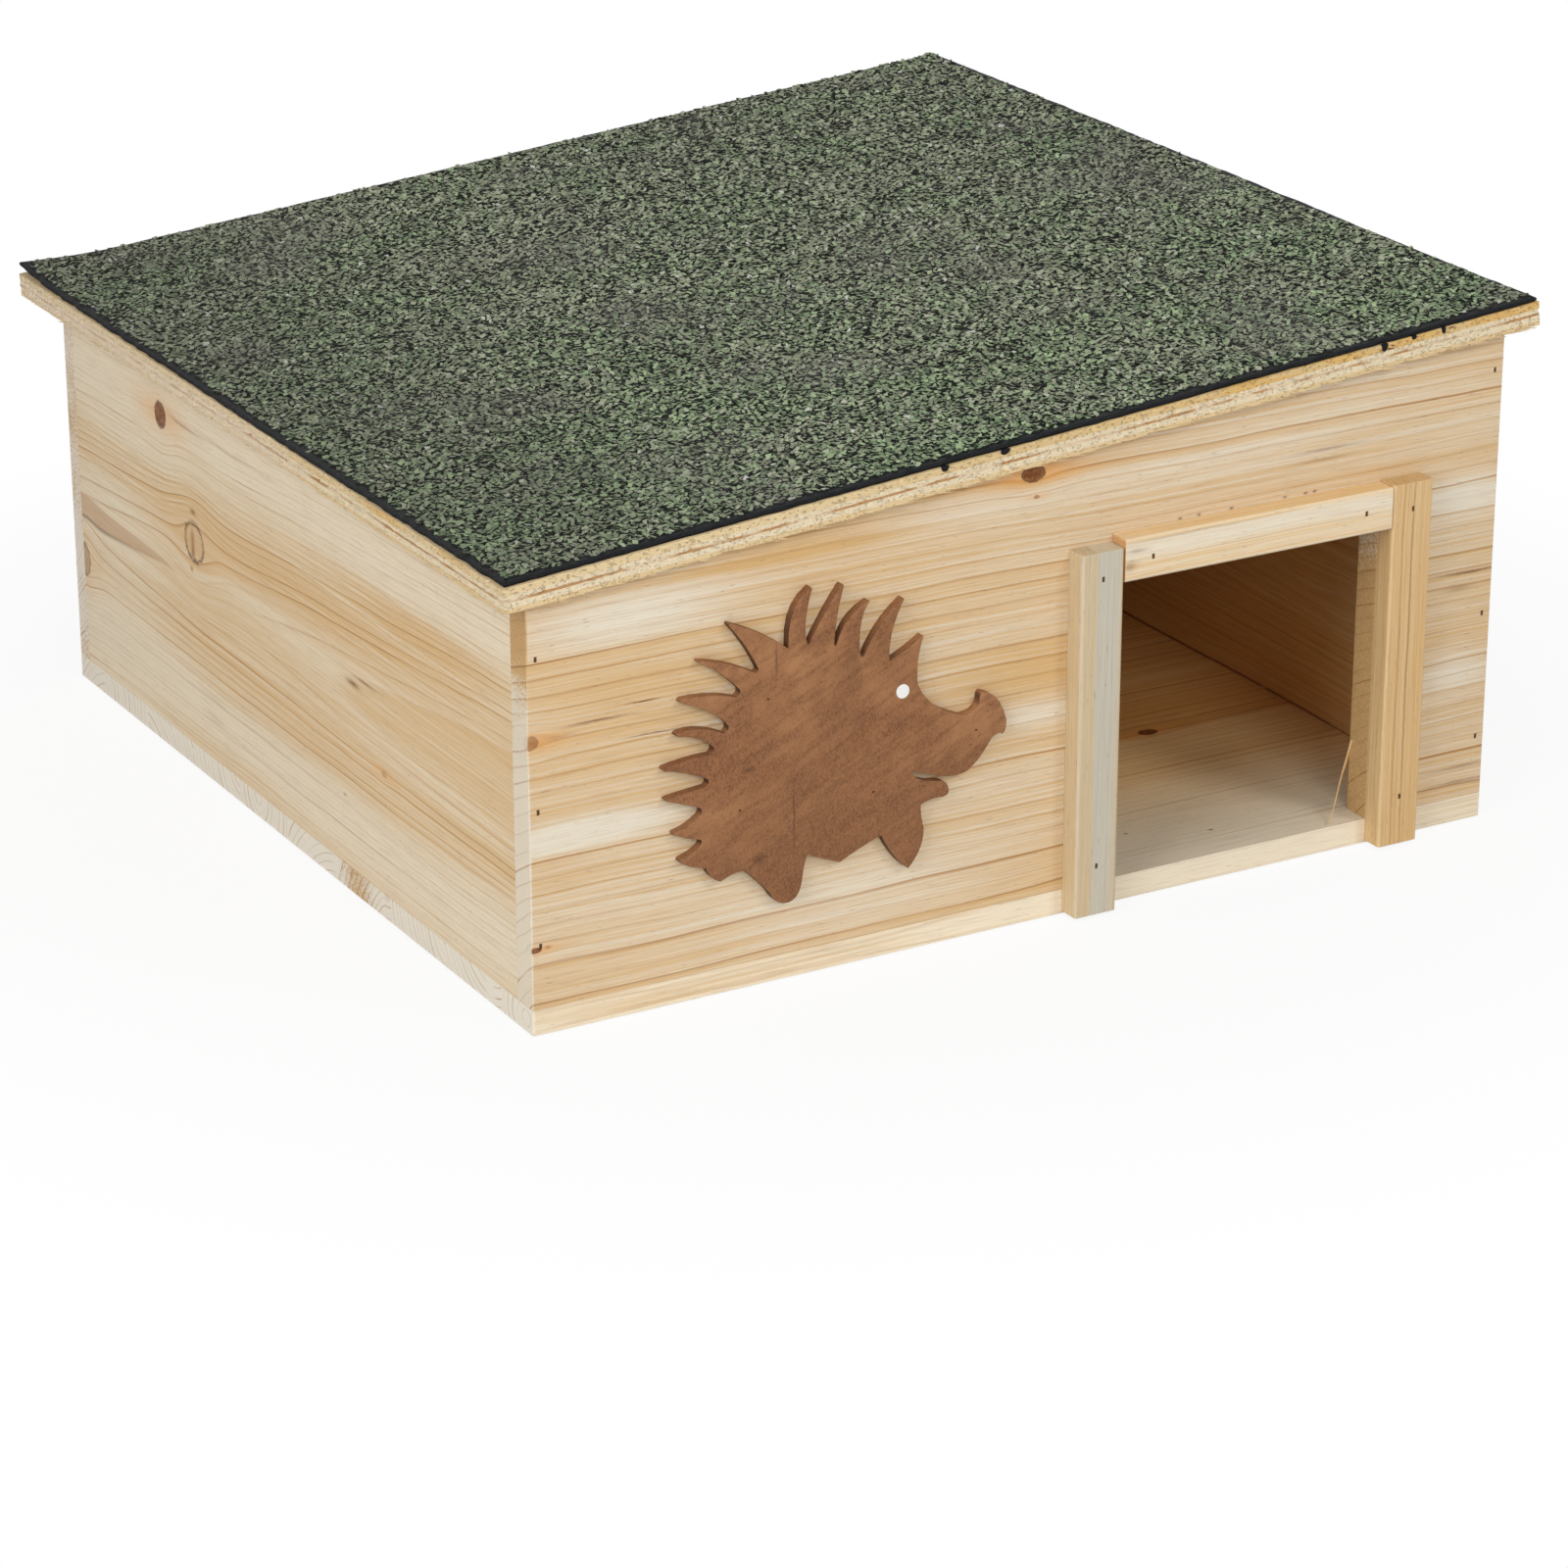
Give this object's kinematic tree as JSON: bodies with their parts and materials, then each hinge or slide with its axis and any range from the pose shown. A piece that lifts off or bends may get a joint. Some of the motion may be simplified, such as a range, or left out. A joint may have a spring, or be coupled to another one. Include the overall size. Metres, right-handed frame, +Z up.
{
  "type": "hedgehog house",
  "caption": "Square wooden hedgehog nesting box with a framed doorway, a stained hedgehog-shaped plaque and a sloping felted plywood roof that lifts on hinges at the back.",
  "frame": {"origin": "centre of the floor panel's underside, on the surface that the house stands on", "axes": "+Z up, -Y out of the front face with the doorway and the plaque, +X to the right seen from the front, which is the side that the roof rises to"},
  "size_m": [0.4226, 0.427, 0.2041],
  "materials": {
    "fir_board": "sanded bare softwood, pale cream with orange grain lines and small knots",
    "grey_fir": "planed bare softwood strip, greyish",
    "orange_fir": "planed bare softwood strip, orange heartwood",
    "stained_plaque": "thin board stained red-brown, satin",
    "eye_white": "matt white",
    "plywood": "sawn plywood, edges bare",
    "mineral_felt": "bitumen felt strewn with green-grey mineral chips, black cut edges",
    "zinc_steel": "zinc plated, dull",
    "nail_steel": "dark bare steel"
  },
  "bodies": {
    "box": {"floor_panel": "fir_board", "front_panel": "fir_board", "back_panel": "fir_board", "left_side_panel": "fir_board", "right_side_panel": "fir_board", "left_door_jamb": "grey_fir", "right_door_jamb": "orange_fir", "door_lintel": "fir_board", "hedgehog_plaque": "stained_plaque", "plaque_eye": "eye_white", "plaque_pins": "nail_steel", "left_hinge_wall_leaf": "zinc_steel", "left_hinge_pin": "zinc_steel", "right_hinge_wall_leaf": "zinc_steel", "right_hinge_pin": "zinc_steel", "hinge_wall_screws": "zinc_steel", "front_panel_nails": "nail_steel", "back_panel_nails": "nail_steel", "floor_nails": "nail_steel", "left_jamb_nails": "nail_steel", "right_jamb_nails": "nail_steel", "lintel_nails": "nail_steel"},
    "roof": {"roof_panel": "plywood", "roof_felt": "mineral_felt", "left_hinge_roof_leaf": "zinc_steel", "right_hinge_roof_leaf": "zinc_steel", "hinge_roof_screws": "zinc_steel"}
  },
  "joints": [
    {"name": "roof_hinge", "type": "hinge", "parent": "box", "child": "roof", "pos_m": [0.00021, 0.2027, 0.17151], "axis": [-0.9964, 0, -0.0847], "range_deg": [0, 90]}
  ]
}
